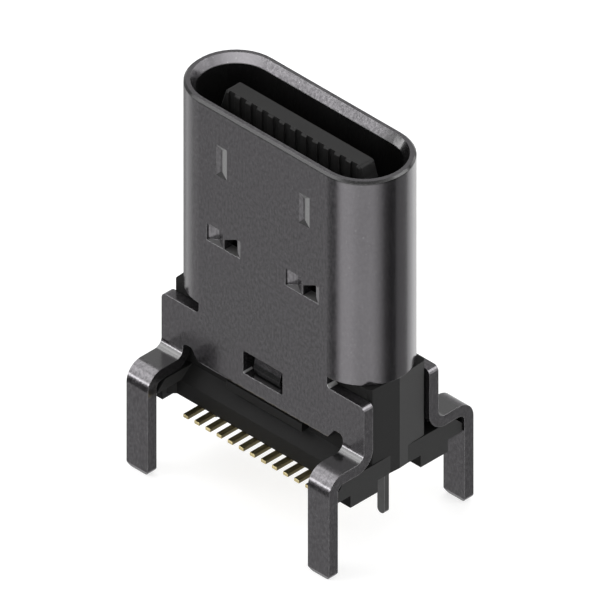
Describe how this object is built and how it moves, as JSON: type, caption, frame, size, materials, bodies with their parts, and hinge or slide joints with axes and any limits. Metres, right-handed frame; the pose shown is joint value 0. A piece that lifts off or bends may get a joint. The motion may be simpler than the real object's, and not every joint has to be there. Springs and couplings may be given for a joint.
{
  "type": "usb-c socket",
  "caption": "Upright board-mount usb-c receptacle: folded metal shell with through-hole legs, black housing, tongue with two rows of gold contacts.",
  "frame": {"origin": "middle of the footprint, on the face of the circuit board that the housing feet stand on", "axes": "+Z out of the mouth, away from the board; +X along the mouth; +Y across it"},
  "size_m": [0.0092, 0.0066, 0.0143],
  "materials": {
    "dark_nickel": "satin dark nickel plating",
    "black_resin": "moulded matt black resin",
    "black_resin_tongue": "moulded matt black resin",
    "bright_steel": "satin stamped steel",
    "gold_plate": "satin gold plating"
  },
  "bodies": {
    "root": {"shell": "dark_nickel", "housing": "black_resin", "tongue": "black_resin_tongue", "middle_plate": "bright_steel", "front_collar": "bright_steel", "back_collar": "bright_steel", "front_contact_01": "gold_plate", "front_contact_02": "gold_plate", "front_contact_03": "gold_plate", "front_contact_04": "gold_plate", "front_contact_05": "gold_plate", "front_contact_06": "gold_plate", "front_contact_07": "gold_plate", "front_contact_08": "gold_plate", "front_contact_09": "gold_plate", "front_contact_10": "gold_plate", "front_contact_11": "gold_plate", "front_contact_12": "gold_plate", "back_contact_01": "gold_plate", "back_contact_02": "gold_plate", "back_contact_03": "gold_plate", "back_contact_04": "gold_plate", "back_contact_05": "gold_plate", "back_contact_06": "gold_plate", "back_contact_07": "gold_plate", "back_contact_08": "gold_plate", "back_contact_09": "gold_plate", "back_contact_10": "gold_plate", "back_contact_11": "gold_plate", "back_contact_12": "gold_plate"}
  },
  "joints": []
}
